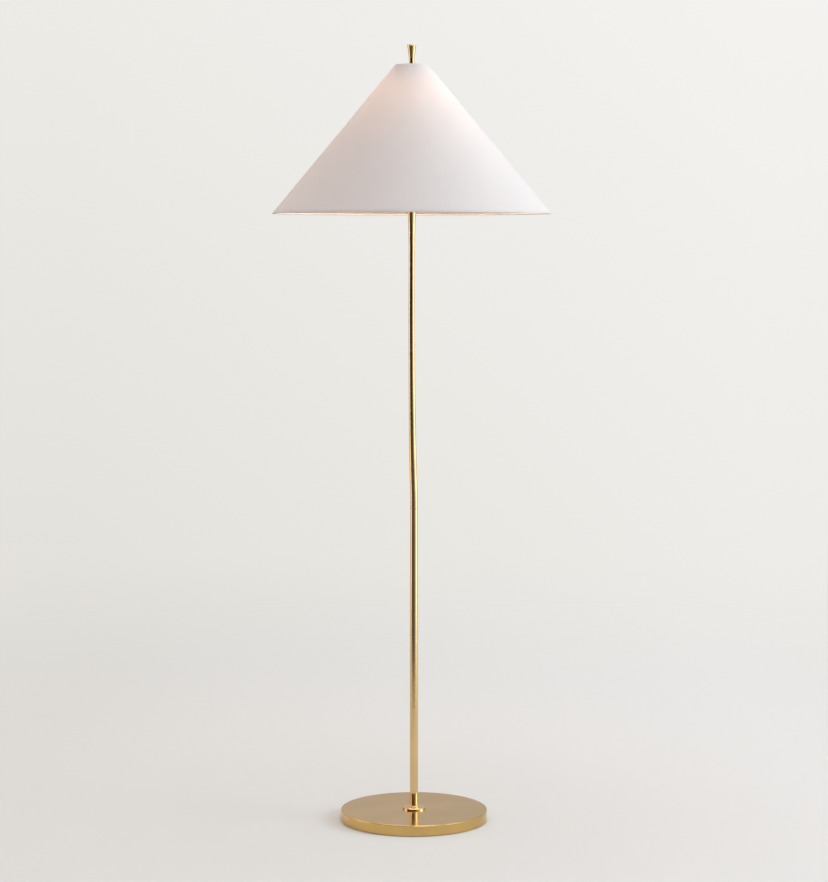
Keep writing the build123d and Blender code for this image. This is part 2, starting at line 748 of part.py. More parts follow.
def bulb_filaments():
    """Light-emitting rods that lean out from the glass stem."""
    rods = []
    for index in range(FILAMENTS):
        angle = radians(45 + 360 / FILAMENTS * index)
        ends = [
            (HEAD_X + reach * cos(angle), reach * sin(angle), BULB_NECK_Z + z)
            for reach, z in (FILAMENT_LOW, FILAMENT_HIGH)
        ]
        rods.append(wire(Line(*ends), FILAMENT_RADIUS))
    return Compound(rods)


# ---- harp -------------------------------------------------------------------------------

def harp():
    """Bent wire around the bulb, flattened into an eyelet at the top for the swivel stud."""
    middle = EYELET_Z + EYELET_THICKNESS / 2
    belly_low, belly_high = HARP_BELLY
    route = [
        (HARP_FOOT, HARP_LOW),
        (HARP_FOOT, HARP_LOW + HARP_LEG),
        (HARP_HALF_WIDTH, HARP_LOW + belly_low),
        (HARP_HALF_WIDTH, HARP_LOW + belly_high),
        (HARP_SHOULDER, middle - HARP_SHOULDER_DROP),
        (EYELET_RADIUS - HARP_LAP, middle),
    ]
    form = rod(EYELET_RADIUS, EYELET_Z, EYELET_Z + EYELET_THICKNESS, HEAD_X)
    for side in (-1, 1):
        points = [(HEAD_X + side * x, 0, z) for x, z in route]
        form += wire(FilletPolyline(*points, radius=HARP_BENDS), WIRE_RADIUS)
    return form - rod(SWIVEL_RADIUS + SWIVEL_CLEARANCE, EYELET_Z - CUT, EYELET_Z + CUT, HEAD_X)


def ferrule(side):
    """Sleeve that slides down over the joint between the harp and a post of the saddle."""
    low = SADDLE_Z + SADDLE_RISE + FERRULE_LIFT
    high = low + FERRULE_LENGTH
    return turned(
        (FERRULE_BORE, low),
        (FERRULE_RADIUS - FERRULE_BEVEL, low),
        (FERRULE_RADIUS, low + FERRULE_BEVEL),
        (FERRULE_RADIUS, high - FERRULE_TAPER),
        (FERRULE_BORE + FERRULE_LIP, high),
        (FERRULE_BORE, high),
        x=HEAD_X + side * HARP_FOOT,
    )


def harp_stud():
    """Swivel stud: a rivet head under the eyelet, a shoulder and a threaded shank over it."""
    head_top = EYELET_Z - SWIVEL_GAP
    shoulder = EYELET_Z + EYELET_THICKNESS + SWIVEL_GAP
    return turned(
        (0, head_top - RIVET_HEIGHT),
        (RIVET_RADIUS - RIVET_BEVEL, head_top - RIVET_HEIGHT),
        (RIVET_RADIUS, head_top - RIVET_HEIGHT + RIVET_BEVEL),
        (RIVET_RADIUS, head_top),
        (SWIVEL_RADIUS, head_top),
        (SWIVEL_RADIUS, shoulder),
        (SHOULDER_RADIUS, shoulder),
        (SHOULDER_RADIUS, SPIDER_HUB_Z),
        (STUD_RADIUS, SPIDER_HUB_Z),
        (STUD_RADIUS, STUD_TOP - STUD_BEVEL),
        (STUD_RADIUS - STUD_BEVEL, STUD_TOP),
        (0, STUD_TOP),
        x=HEAD_X,
    )


# ---- shade ------------------------------------------------------------------------------

def cone_wall(outside, inside):
    """Open cone between two depths measured across from the outside of the shade."""
    return turned(
        (cone_radius(SHADE_LOW, outside), SHADE_LOW),
        (cone_radius(SHADE_TOP, outside), SHADE_TOP),
        (cone_radius(SHADE_TOP, inside), SHADE_TOP),
        (cone_radius(SHADE_LOW, inside), SHADE_LOW),
        x=HEAD_X,
    )


def shade_linen():
    return cone_wall(0, LINEN_ACROSS)


def shade_styrene():
    return cone_wall(LINEN_ACROSS, LINEN_ACROSS + STYRENE_ACROSS)


def wire_ring(z):
    """A wire ring inside the shade."""
    return Pos(HEAD_X, 0, z) * Torus(ring_radius(z, RING_WIRE), RING_WIRE)


def spider_hub():
    return tube(
        SPIDER_HUB_RADIUS, SPIDER_HOLE, SPIDER_HUB_Z, SPIDER_HUB_Z + SPIDER_HUB_THICKNESS, HEAD_X
    )


def spider_arms():
    """Rods welded between the hub and the top ring."""
    start = SPIDER_HUB_RADIUS - WELD
    end = ring_radius(TOP_RING_Z, RING_WIRE) - RING_WIRE + WELD
    hub_middle = SPIDER_HUB_Z + SPIDER_HUB_THICKNESS / 2
    arms = []
    for index in range(SPIDER_ARMS):
        angle = radians(90 + 360 / SPIDER_ARMS * index)
        low = (HEAD_X + start * cos(angle), start * sin(angle), hub_middle)
        high = (HEAD_X + end * cos(angle), end * sin(angle), TOP_RING_Z)
        arms.append(wire(Line(low, high), SPIDER_ROD))
    return Compound(arms)


# ---- finial -----------------------------------------------------------------------------

def finial_washer():
    low = SPIDER_HUB_Z + SPIDER_HUB_THICKNESS
    hole = STUD_RADIUS + FINIAL_WASHER_FIT
    return tube(FINIAL_WASHER_RADIUS, hole, low, low + FINIAL_WASHER, HEAD_X)


def finial():
    low = SPIDER_HUB_Z + SPIDER_HUB_THICKNESS + FINIAL_WASHER
    lip = FINIAL_TOP - FINIAL_LIP
    bore = STUD_RADIUS + FINIAL_CLEARANCE
    bore_top = STUD_TOP + FINIAL_HEADROOM
    return turned(
        (bore, low),
        (FINIAL_WAIST_RADIUS - FINIAL_BEVEL, low),
        (FINIAL_WAIST_RADIUS, low + FINIAL_FOOT_BEVEL),
        (FINIAL_WAIST_RADIUS, FINIAL_WAIST_Z),
        (FINIAL_TOP_RADIUS - FINIAL_BEVEL, lip - FINIAL_BEVEL),
        (FINIAL_TOP_RADIUS, lip),
        (FINIAL_TOP_RADIUS, FINIAL_TOP - FINIAL_BEVEL),
        (FINIAL_TOP_RADIUS - FINIAL_BEVEL, FINIAL_TOP),
        (0, FINIAL_TOP),
        (0, bore_top + FINIAL_DRILL_POINT),
        (bore, bore_top),
        x=HEAD_X,
    )


# ---- the pieces -------------------------------------------------------------------------

PIECES = {
    "base_cover": base_cover(),
    "base_weight": base_weight(),
    "felt_pad": felt_pad(),
    "base_washer": base_washer(),
    "lock_washer": lock_washer(),
    "base_nut": base_nut(),
    "base_nipple": base_nipple(),
    "base_flange": base_flange(),
    "cord_bushing": cord_bushing(),
    "splice_connectors": splice_connectors(),
    "lower_stem": lower_stem(),
    "lower_foot_insert": insert(BASE_HEIGHT + FLANGE_SEAT),
    "lower_head_insert": insert(JOINT_Z - INSERT_LENGTH),
    "joint_ring": joint_ring(),
    "stem_coupling": stem_coupling(),
    "upper_stem": upper_stem(),
    "upper_foot_insert": insert(JOINT_Z + RING_HEIGHT),
    "neck_cap": neck_cap(),
    "top_nipple": top_nipple(),
    "live_lead": lead(1),
    "neutral_lead": lead(-1),
    "harp_saddle": harp_saddle(),
    "saddle_nut": saddle_nut(),
    "socket_cap": socket_cap(),
    "cap_set_screw": cap_set_screw(),
    "socket_shell": socket_shell(),
    "socket_liner": socket_liner(),
    "socket_body": socket_body(),
    "terminal_screws": terminal_screws(),
    "screw_shell": screw_shell(),
    "centre_contact": centre_contact(),
    "switch_shaft": switch_shaft(),
    "switch_key": switch_key(),
    "bulb_glass": bulb_glass(),
    "bulb_cap": bulb_cap(),
    "bulb_insulator": bulb_insulator(),
    "bulb_contact": bulb_contact(),
    "bulb_mount": bulb_mount(),
    "bulb_filaments": bulb_filaments(),
    "harp": harp(),
    "left_ferrule": ferrule(-1),
    "right_ferrule": ferrule(1),
    "harp_stud": harp_stud(),
    "shade_linen": shade_linen(),
    "shade_styrene": shade_styrene(),
    "bottom_ring": wire_ring(BOTTOM_RING_Z),
    "top_ring": wire_ring(TOP_RING_Z),
    "spider_hub": spider_hub(),
    "spider_arms": spider_arms(),
    "finial_washer": finial_washer(),
    "finial": finial(),
}

os.makedirs("parts", exist_ok=True)
for piece_name, piece in PIECES.items():
    save(piece_name, piece)
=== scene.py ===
import json
from math import atan2, cos, hypot, pi, radians, sin, tau

import bpy
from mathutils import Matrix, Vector, noise

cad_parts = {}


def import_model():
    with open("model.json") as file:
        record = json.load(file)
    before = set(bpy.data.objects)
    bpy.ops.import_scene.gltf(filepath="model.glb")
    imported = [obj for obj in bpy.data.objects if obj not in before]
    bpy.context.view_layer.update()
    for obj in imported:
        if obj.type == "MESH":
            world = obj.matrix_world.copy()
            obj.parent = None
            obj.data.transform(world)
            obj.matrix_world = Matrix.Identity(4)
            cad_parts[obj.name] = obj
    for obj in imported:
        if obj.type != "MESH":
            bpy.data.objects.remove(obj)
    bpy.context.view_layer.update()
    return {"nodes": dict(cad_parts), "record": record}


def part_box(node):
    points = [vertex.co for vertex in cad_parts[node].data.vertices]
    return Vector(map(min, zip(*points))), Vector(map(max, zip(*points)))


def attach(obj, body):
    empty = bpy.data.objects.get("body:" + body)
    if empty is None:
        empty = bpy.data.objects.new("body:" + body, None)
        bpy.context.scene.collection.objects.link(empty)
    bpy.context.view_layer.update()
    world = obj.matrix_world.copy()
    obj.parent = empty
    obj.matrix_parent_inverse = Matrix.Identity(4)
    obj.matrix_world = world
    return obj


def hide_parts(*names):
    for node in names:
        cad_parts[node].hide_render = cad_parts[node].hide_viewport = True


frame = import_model()

# The floor lamp's looks. Metres, +Z up, -Y towards the viewer, as in the frame.

NODES = frame["nodes"]
SLOT_OF_NODE = {part["node"]: part["material_slot"] for part in frame["record"]["subparts"]}


# ---- node tree helpers ------------------------------------------------------------------

def feed(tree, socket, value):
    """Give a socket a value, or link another node's output to it."""
    if isinstance(value, bpy.types.NodeSocket):
        tree.links.new(value, socket)
    else:
        socket.default_value = value


def plug(tree, node, **inputs):
    """Feed a node's sockets by name, with a low line in place of each space."""
    for key, value in inputs.items():
        feed(tree, node.inputs[key.replace("_", " ")], value)


def add(tree, kind, settings=None, **inputs):
    """A node with its settings and inputs."""
    made = tree.nodes.new(kind)
    for key, value in (settings or {}).items():
        setattr(made, key, value)
    plug(tree, made, **inputs)
    return made


def math(tree, operation, *values):
    made = add(tree, "ShaderNodeMath", {"operation": operation})
    for socket, value in zip(made.inputs, values):
        feed(tree, socket, value)
    return made.outputs[0]


def mix(tree, factor, first, second):
    """A blend of two colours."""
    made = add(tree, "ShaderNodeMix", {"data_type": "RGBA"})
    feed(tree, made.inputs[0], factor)
    for socket, value in zip(made.inputs[6:8], (first, second)):
        feed(tree, socket, value if isinstance(value, bpy.types.NodeSocket) else (*value[:3], 1))
    return made.outputs[2]


def blend(tree, factor, first, second):
    """A blend of two shaders."""
    made = tree.nodes.new("ShaderNodeMixShader")
    for socket, value in zip(made.inputs, (factor, first, second)):
        feed(tree, socket, value)
    return made.outputs[0]


def spread(tree, value, low, high, from_low=0.3, from_high=0.7):
    """A noise value stretched to run from low to high."""
    made = add(tree, "ShaderNodeMapRange", Value=value)
    for key, number in (("From Min", from_low), ("From Max", from_high), ("To Min", low), ("To Max", high)):
        made.inputs[key].default_value = number
    return made.outputs[0]


def cloud(tree, vector, scale, detail=3.0, roughness=0.55):
    return add(
        tree, "ShaderNodeTexNoise", Vector=vector, Scale=scale, Detail=detail, Roughness=roughness
    ).outputs[0]


def bump(tree, height, distance, strength=1.0, normal=None):
    inputs = {"Height": height, "Distance": distance, "Strength": strength}
    if normal is not None:
        inputs["Normal"] = normal
    return add(tree, "ShaderNodeBump", **inputs).outputs[0]


def shaded(colour, factor):
    return tuple(min(1.0, channel * factor) for channel in colour)


def surface(name):
    """A new material, its node tree and its Principled shader."""
    made = bpy.data.materials.new(name)
    made.use_nodes = True
    return made, made.node_tree, made.node_tree.nodes["Principled BSDF"]


def finish_with(tree, shader):
    """Send a shader other than the Principled one to the material's output."""
    tree.links.new(shader, tree.nodes["Material Output"].inputs[0])


# ---- metals -----------------------------------------------------------------------------

def place(tree):
    """Position in the row frame, in metres."""
    return add(tree, "ShaderNodeTexCoord").outputs["Object"]


def stretched(tree, where, scale):
    """Coordinates scaled by a different amount on each axis."""
    return add(tree, "ShaderNodeMapping", Vector=where, Scale=scale).outputs[0]


def around(tree, centre_x, fine, along):
    """Coordinates that are fine across a turned surface and long around its axis."""
    split = add(tree, "ShaderNodeSeparateXYZ", Vector=place(tree))
    x = math(tree, "SUBTRACT", split.outputs[0], centre_x)
    y = split.outputs[1]
    radius = math(tree, "SQRT", math(tree, "ADD", math(tree, "MULTIPLY", x, x), math(tree, "MULTIPLY", y, y)))
    angle = math(tree, "ARCTAN2", y, x)
    return add(
        tree,
        "ShaderNodeCombineXYZ",
        X=math(tree, "MULTIPLY", radius, fine),
        Y=math(tree, "MULTIPLY", split.outputs[2], fine),
        Z=math(tree, "MULTIPLY", angle, along),
    ).outputs[0]


def metal(name, colour, roughness, marks, depth=2e-5, patina=0.86, smudge=1.5, turned=0.0):
    """Bare or plated metal: uneven tone, polishing marks, and dull smudges and specks."""
    made, tree, shader = surface(name)
    where = place(tree)
    tone = spread(tree, cloud(tree, where, 11.0, 4.0), 0.0, 1.0)
    fleck = spread(tree, cloud(tree, where, 420.0, 3.0), 0.0, 0.35, 0.62, 0.75)
    tint = mix(tree, tone, colour, shaded(colour, patina))
    tint = mix(tree, fleck, tint, shaded(colour, 0.6))
    lines = cloud(tree, marks(tree), 1.0, 4.0, 0.7)
    dull = spread(tree, cloud(tree, where, 26.0, 5.0), 0.85, smudge)
    dull = math(tree, "MULTIPLY", dull, spread(tree, lines, 0.85, 1.2))
    plug(
        tree,
        shader,
        Base_Color=tint,
        Metallic=1.0,
        Roughness=math(tree, "MULTIPLY", dull, roughness),
        Anisotropic=turned,
        Anisotropic_Rotation=0.25,
        Normal=bump(tree, lines, depth, 0.6),
    )
    return made


def turned_marks(centre_x, fine, along):
    return lambda tree: around(tree, centre_x, fine, along)


def drawn_marks(scale):
    return lambda tree: stretched(tree, place(tree), scale)


# ---- plastics, card, felt, iron ---------------------------------------------------------

def plastic(name, colour, roughness, grain=900.0, depth=2e-5, mottle=0.8):
    made, tree, shader = surface(name)
    where = place(tree)
    tone = spread(tree, cloud(tree, where, 60.0, 4.0), 0.0, 1.0)
    skin = cloud(tree, where, grain, 2.0)
    plug(
        tree,
        shader,
        Base_Color=mix(tree, tone, colour, shaded(colour, mottle)),
        Roughness=spread(tree, skin, roughness * 0.85, roughness * 1.2),
        Normal=bump(tree, skin, depth),
    )
    return made


def felt(name, colour):
    """Pressed wool: short tangled fibres and a soft sheen."""
    made, tree, shader = surface(name)
    fibres = cloud(tree, stretched(tree, place(tree), (900.0, 2600.0, 900.0)), 1.0, 5.0, 0.8)
    crossing = cloud(tree, stretched(tree, place(tree), (2600.0, 900.0, 900.0)), 1.0, 5.0, 0.8)
    nap = math(tree, "MAXIMUM", fibres, crossing)
    plug(
        tree,
        shader,
        Base_Color=mix(tree, spread(tree, nap, 0.0, 1.0), shaded(colour, 0.6), shaded(colour, 1.7)),
        Roughness=0.95,
        Sheen_Weight=0.4,
        Sheen_Roughness=0.6,
        Normal=bump(tree, nap, 4e-4),
    )
    return made


def casting(name, colour):
    """Rough iron under a thin black paint, with rust where it is worn."""
    made, tree, shader = surface(name)
    where = place(tree)
    sand = cloud(tree, where, 700.0, 6.0, 0.7)
    rust = spread(tree, cloud(tree, where, 45.0, 6.0, 0.7), 0.0, 1.0, 0.58, 0.7)
    plug(
        tree,
        shader,
        Base_Color=mix(tree, rust, colour, (0.19, 0.075, 0.03)),
        Metallic=0.3,
        Roughness=spread(tree, sand, 0.5, 0.85),
        Normal=bump(tree, sand, 3e-4),
    )
    return made


# ---- glass ------------------------------------------------------------------------------

def frosted_glass(name, colour, glow, strength):
    """The inside-frosted globe, lit: brightest round the ball, dimmer at the neck and the tip."""
    made, tree, shader = surface(name)
    low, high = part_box("bulb_glass")
    split = add(tree, "ShaderNodeSeparateXYZ", Vector=place(tree))
    dim, bright, faint = (low.z + share * (high.z - low.z) for share in (0.0, 0.45, 0.80))
    rise = spread(tree, split.outputs[2], 0.25, 1.0, dim, bright)
    tip = spread(tree, split.outputs[2], 1.0, 0.04, bright, faint)
    grain = cloud(tree, place(tree), 1600.0, 2.0)
    plug(
        tree,
        shader,
        Base_Color=mix(tree, spread(tree, grain, 0.0, 1.0), colour, shaded(colour, 0.94)),
        Roughness=spread(tree, grain, 0.35, 0.5),
        Emission_Color=(*glow, 1),
        Emission_Strength=math(tree, "MULTIPLY", math(tree, "MULTIPLY", rise, tip), strength),
        Normal=bump(tree, grain, 1e-5),
    )
    return made


def clear_glass(name, colour):
    made, tree, shader = surface(name)
    streaks = cloud(tree, stretched(tree, place(tree), (300.0, 300.0, 40.0)), 1.0, 2.0)
    plug(
        tree,
        shader,
        Base_Color=(*colour, 1),
        Roughness=spread(tree, streaks, 0.02, 0.08),
        Transmission_Weight=1.0,
        IOR=1.5,
        Normal=bump(tree, streaks, 2e-5),
    )
    return made


# ---- the shade's two layers -------------------------------------------------------------

LINEN_THROUGH = 0.33
STYRENE_THROUGH = 0.5
THREAD_PITCH = 0.00062
THREAD_WANDER = 2.4
OVER_UNDER = 0.22
SLUB_FINE = 1600.0  # slubs are long along their thread and fine across it
SLUB_LONG = 26.0


def weave(tree, flat):
    """Plain weave on the flat sheet: height of the threads and their slubs."""
    split = add(tree, "ShaderNodeSeparateXYZ", Vector=flat)
    wander = cloud(tree, flat, 90.0, 2.0)
    count = pi / THREAD_PITCH
    heights = []
    for axis, other in ((0, 1), (1, 0)):
        shift = math(tree, "MULTIPLY", wander, THREAD_WANDER)
        across = math(tree, "ADD", math(tree, "MULTIPLY", split.outputs[axis], count), shift)
        over = math(tree, "SINE", math(tree, "MULTIPLY", split.outputs[other], count))
        ridge = math(tree, "ABSOLUTE", math(tree, "SINE", across))
        lift = math(tree, "MULTIPLY_ADD", over, OVER_UNDER if axis else -OVER_UNDER, 1 - OVER_UNDER)
        heights.append(math(tree, "MULTIPLY", ridge, lift))
    return math(tree, "MAXIMUM", *heights)


def linen(name, colour):
    """Fine off-white linen that lets some of the lamp's light through."""
    made, tree, shader = surface(name)
    flat = add(tree, "ShaderNodeUVMap", {"uv_map": "flat"}).outputs[0]
    threads = weave(tree, flat)
    warp = cloud(tree, stretched(tree, flat, (SLUB_FINE, SLUB_LONG, 1.0)), 1.0, 2.0)
    weft = cloud(tree, stretched(tree, flat, (SLUB_LONG, SLUB_FINE, 1.0)), 1.0, 2.0)
    slub = math(tree, "MAXIMUM", warp, weft)
    tone = spread(tree, slub, 0.0, 1.0, 0.45, 0.75)
    tint = mix(tree, tone, colour, shaded(colour, 0.93))
    # Painted shade: the hollows between the threads are darker
    tint = mix(tree, spread(tree, threads, 1.0, 0.0, 0.2, 0.8), tint, shaded(colour, 0.9))
    relief = math(tree, "MULTIPLY_ADD", slub, 0.5, threads)
    normal = bump(tree, relief, 1.2e-4, 0.5)
    plug(
        tree,
        shader,
        Base_Color=tint,
        Roughness=spread(tree, slub, 0.8, 0.95),
        Sheen_Weight=0.15,
        Sheen_Roughness=0.5,
        Specular_IOR_Level=0.2,
        Normal=normal,
    )
    through = add(tree, "ShaderNodeBsdfTranslucent", Color=tint, Normal=normal)
    finish_with(tree, blend(tree, LINEN_THROUGH, shader.outputs[0], through.outputs[0]))
    return made


def styrene(name, colour):
    """Smooth translucent sheet with faint clouding."""
    made, tree, shader = surface(name)
    where = place(tree)
    haze = cloud(tree, where, 30.0, 4.0)
    ripple = cloud(tree, where, 260.0, 2.0)
    tint = mix(tree, spread(tree, haze, 0.0, 1.0), colour, shaded(colour, 0.95))
    plug(
        tree,
        shader,
        Base_Color=tint,
        Roughness=spread(tree, ripple, 0.45, 0.6),
        Normal=bump(tree, ripple, 3e-5),
    )
    through = add(tree, "ShaderNodeBsdfTranslucent", Color=tint)
    finish_with(tree, blend(tree, STYRENE_THROUGH, shader.outputs[0], through.outputs[0]))
    return made


BULB_GLOW = (1.0, 0.66, 0.46)
BULB_STRENGTH = 125.0
BRASS = (0.80, 0.565, 0.28)
SATIN_BRASS = (0.71, 0.475, 0.175)
MACHINED_BRASS = shaded(BRASS, 0.95)
HEAD_X = sum(corner.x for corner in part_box("finial")) / 2

MATERIALS = {
    "polished_brass": metal("polished_brass", BRASS, 0.06, turned_marks(0.0, 900.0, 1.5), depth=1.5e-7, turned=0.25),
    "satin_brass": metal("satin_brass", SATIN_BRASS, 0.13, turned_marks(0.0, 2200.0, 1.2), depth=2e-6, turned=0.5),
    "machined_brass": metal("machined_brass", MACHINED_BRASS, 0.12, turned_marks(HEAD_X, 3000.0, 1.0), depth=3e-6),
    "socket_brass": metal("socket_brass", shaded(BRASS, 0.97), 0.2, drawn_marks((900.0, 900.0, 60.0))),
    "cast_iron": casting("cast_iron", (0.035, 0.035, 0.036)),
    "zinc_steel": metal("zinc_steel", (0.58, 0.58, 0.55), 0.34, drawn_marks((700.0, 700.0, 90.0)), patina=0.8),
    "plated_steel": metal("plated_steel", (0.66, 0.5, 0.28), 0.26, drawn_marks((500.0, 500.0, 60.0))),
    "white_wire": plastic("white_wire", (0.82, 0.80, 0.76), 0.35, grain=500.0, depth=3e-5, mottle=0.93),
    "felt": felt("felt", (0.035, 0.04, 0.035)),
    "black_nylon": plastic("black_nylon", (0.02, 0.02, 0.02), 0.42),
    "clear_nylon": plastic("clear_nylon", (0.78, 0.77, 0.72), 0.4, mottle=0.92),
    "live_insulation": plastic("live_insulation", (0.025, 0.023, 0.022), 0.45, grain=700.0),
    "neutral_insulation": plastic("neutral_insulation", (0.8, 0.79, 0.75), 0.45, grain=700.0, mottle=0.92),
    "liner_card": plastic("liner_card", (0.34, 0.22, 0.12), 0.75, grain=380.0, depth=6e-5, mottle=0.7),
    "phenolic": plastic("phenolic", (0.028, 0.018, 0.013), 0.28, grain=300.0, depth=1e-5, mottle=0.6),
    "frosted_glass": frosted_glass("frosted_glass", (0.93, 0.9, 0.84), BULB_GLOW, BULB_STRENGTH),
    "clear_glass": clear_glass("clear_glass", (0.97, 0.97, 0.96)),
    "black_glass": plastic("black_glass", (0.015, 0.015, 0.02), 0.12, grain=200.0, depth=8e-6),
    "bulb_aluminium": metal("bulb_aluminium", (0.82, 0.82, 0.82), 0.2, turned_marks(HEAD_X, 900.0, 2.0)),
    "solder": metal("solder", (0.6, 0.6, 0.6), 0.35, drawn_marks((300.0, 300.0, 300.0)), depth=6e-5),
    "filament": plastic("filament", (0.9, 0.62, 0.12), 0.5, grain=800.0, depth=3e-5, mottle=0.85),
    "linen": linen("linen", (0.88, 0.855, 0.85)),
    "styrene": styrene("styrene", (0.92, 0.90, 0.87)),
}

for node_name, node_object in NODES.items():
    node_object.data.materials.clear()
    node_object.data.materials.append(MATERIALS[SLOT_OF_NODE[node_name]])


# ---- mesh helpers -----------------------------------------------------------------------

def mesh_piece(name, points, faces, body, slot, replaced=(), flat=None):
    """A smooth mesh that rides on a body; flat gives each corner's place on the flat sheet."""
    data = bpy.data.meshes.new(name)
    data.from_pydata(points, [], faces)
    data.validate()
    data.shade_smooth()
    if flat is not None:
        layer = data.uv_layers.new(name="flat")
        for corner, spot in zip(layer.data, flat):
            corner.uv = spot
    data.materials.append(MATERIALS[slot])
    made = bpy.data.objects.new(name, data)
    bpy.context.scene.collection.objects.link(made)
    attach(made, body)
    if replaced:
        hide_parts(*replaced)
    return made


def lathe(outline, segments, centre_x, place_of=None):
    """Points and faces of a closed outline of (radius, height) points turned about an axis."""
    count = len(outline)
    points, faces = [], []
    for turn in range(segments):
        angle = tau * turn / segments
        for index, (radius, height) in enumerate(outline):
            if place_of:
                radius, height = place_of(radius, height, angle)
            points.append((centre_x + radius * cos(angle), radius * sin(angle), height))
            here = turn * count
            ahead = (turn + 1) % segments * count
            after = (index + 1) % count
            faces.append((here + index, ahead + index, ahead + after, here + after))
    return points, faces


def between(first, second, steps):
    """Points on a straight stretch, without its last one."""
    return [
        tuple(a + (b - a) * step / steps for a, b in zip(first, second)) for step in range(steps)
    ]


def radius_at(node, height, outermost=True):
    """Radius of a turned node about the head's axis, at one of its ends."""
    found = [
        hypot(v.co.x - HEAD_X, v.co.y)
        for v in NODES[node].data.vertices
        if abs(v.co.z - height) < 1e-4
    ]
    return max(found) if outermost else min(found)


# ---- shade ------------------------------------------------------------------------------

SHADE_SEGMENTS = 288
SHADE_ROWS = 60
HEM_LAP = 0.011
CLOTH = 0.0004
EDGE_ROUND = 0.0006  # how far from an edge, along the slope, the cloth starts to turn over it
OVER_EDGE = 0.0001  # cloth past the card at the edges, and clear of its back
TURN_DROP = 0.0003  # how far it dips, or comes in, as it turns over
LAP_BEHIND = 0.00005  # between the lining's inner face and the back of the lap
BACK_INSET = 0.0008  # between an edge and the end of the cloth's back
LINING_INSET = 0.0002  # between an edge of the cloth and the lining's
LAP_END_SHARE = 0.001  # shares of the slope
HEM_TURN_SHARE = 0.002
EASE_DEPTH = 0.0004
EASE_AROUND = 2.2
EASE_UP = 2.5
CROWN_BAND = 0.002  # the top opening stays true this far out from its edge
SEAM_BEARING = pi / 2
SEAM_WIDTH = 0.009
SEAM_STEPS = 6
SEAM_END = 0.002

shade_low, shade_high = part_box("shade_linen")
OUTER_LOW = radius_at("shade_linen", shade_low.z)
OUTER_HIGH = radius_at("shade_linen", shade_high.z)
INNER_LOW = radius_at("shade_styrene", shade_low.z, False)
INNER_HIGH = radius_at("shade_styrene", shade_high.z, False)
SHEET_LOW = radius_at("shade_styrene", shade_low.z)
SHEET_HIGH = radius_at("shade_styrene", shade_high.z)
SLANT = hypot(OUTER_LOW - OUTER_HIGH, shade_high.z - shade_low.z)
SIN_HALF = (OUTER_LOW - OUTER_HIGH) / SLANT


def on_cone(low_radius, high_radius, share):
    height = shade_low.z + share * (shade_high.z - shade_low.z)
    return low_radius + share * (high_radius - low_radius), height


def on_inside(share, inwards):
    """A place a little way in from the lining's inner face."""
    radius, height = on_cone(INNER_LOW, INNER_HIGH, share)
    return radius - inwards, height


def linen_outline():
    """Ribbon of cloth: up the outside, over the top edge, and lapped under both edges."""
    edge = EDGE_ROUND / SLANT
    start, end = (on_cone(OUTER_LOW, OUTER_HIGH, share) for share in (edge, 1 - edge))
    lap_low = 1 - HEM_LAP / SLANT
    lap_end = lap_low - LAP_END_SHARE
    outside = between(start, end, SHADE_ROWS)
    top = [
        end,
        (OUTER_HIGH - CLOTH, shade_high.z + OVER_EDGE),
        (INNER_HIGH, shade_high.z + OVER_EDGE),
        (INNER_HIGH - CLOTH, shade_high.z - TURN_DROP),
        on_inside(lap_low, CLOTH),
        on_inside(lap_end, CLOTH),
    ]
    top_back = [
        on_inside(lap_end, LAP_BEHIND),
        (INNER_HIGH - LAP_BEHIND, shade_high.z - OVER_EDGE),
        (SHEET_HIGH, shade_high.z - OVER_EDGE),
    ]
    inside = between(
        (SHEET_HIGH + OVER_EDGE, shade_high.z - BACK_INSET),
        (SHEET_LOW + OVER_EDGE, shade_low.z + BACK_INSET),
        SHADE_ROWS,
    )
    low = [
        (SHEET_LOW, shade_low.z + OVER_EDGE),
        (INNER_LOW - LAP_BEHIND, shade_low.z + OVER_EDGE),
        on_inside(HEM_TURN_SHARE, LAP_BEHIND),
        on_inside(HEM_TURN_SHARE, CLOTH),
        (INNER_LOW - CLOTH, shade_low.z - OVER_EDGE),
        (OUTER_LOW - TURN_DROP, shade_low.z - OVER_EDGE),
    ]
    return outside + top + top_back + inside + low


def ease(radius, height, angle):
    """The cone's small departures from true: a laminated sheet is never quite round."""
    if radius < OUTER_HIGH + CROWN_BAND:
        return radius, height
    share = (height - shade_low.z) / (shade_high.z - shade_low.z)
    swell = noise.noise(Vector((EASE_AROUND * cos(angle), EASE_AROUND * sin(angle), EASE_UP * share)))
    return radius + EASE_DEPTH * swell * sin(pi * min(1.0, max(0.0, share))), height


def flat_places(points, faces):
    """Where each corner of each face lies on the sheet that the cone was cut from."""
    made = []
    for face in faces:
        turns = [(atan2(points[index][1], points[index][0] - HEAD_X) - SEAM_BEARING) % tau for index in face]
        furthest = max(turns)
        for index, turn in zip(face, turns):
            reach = hypot(points[index][0] - HEAD_X, points[index][1]) / SIN_HALF
            angle = SIN_HALF * (turn + tau if furthest - turn > pi else turn)
            made.append((reach * cos(angle), reach * sin(angle)))
    return made


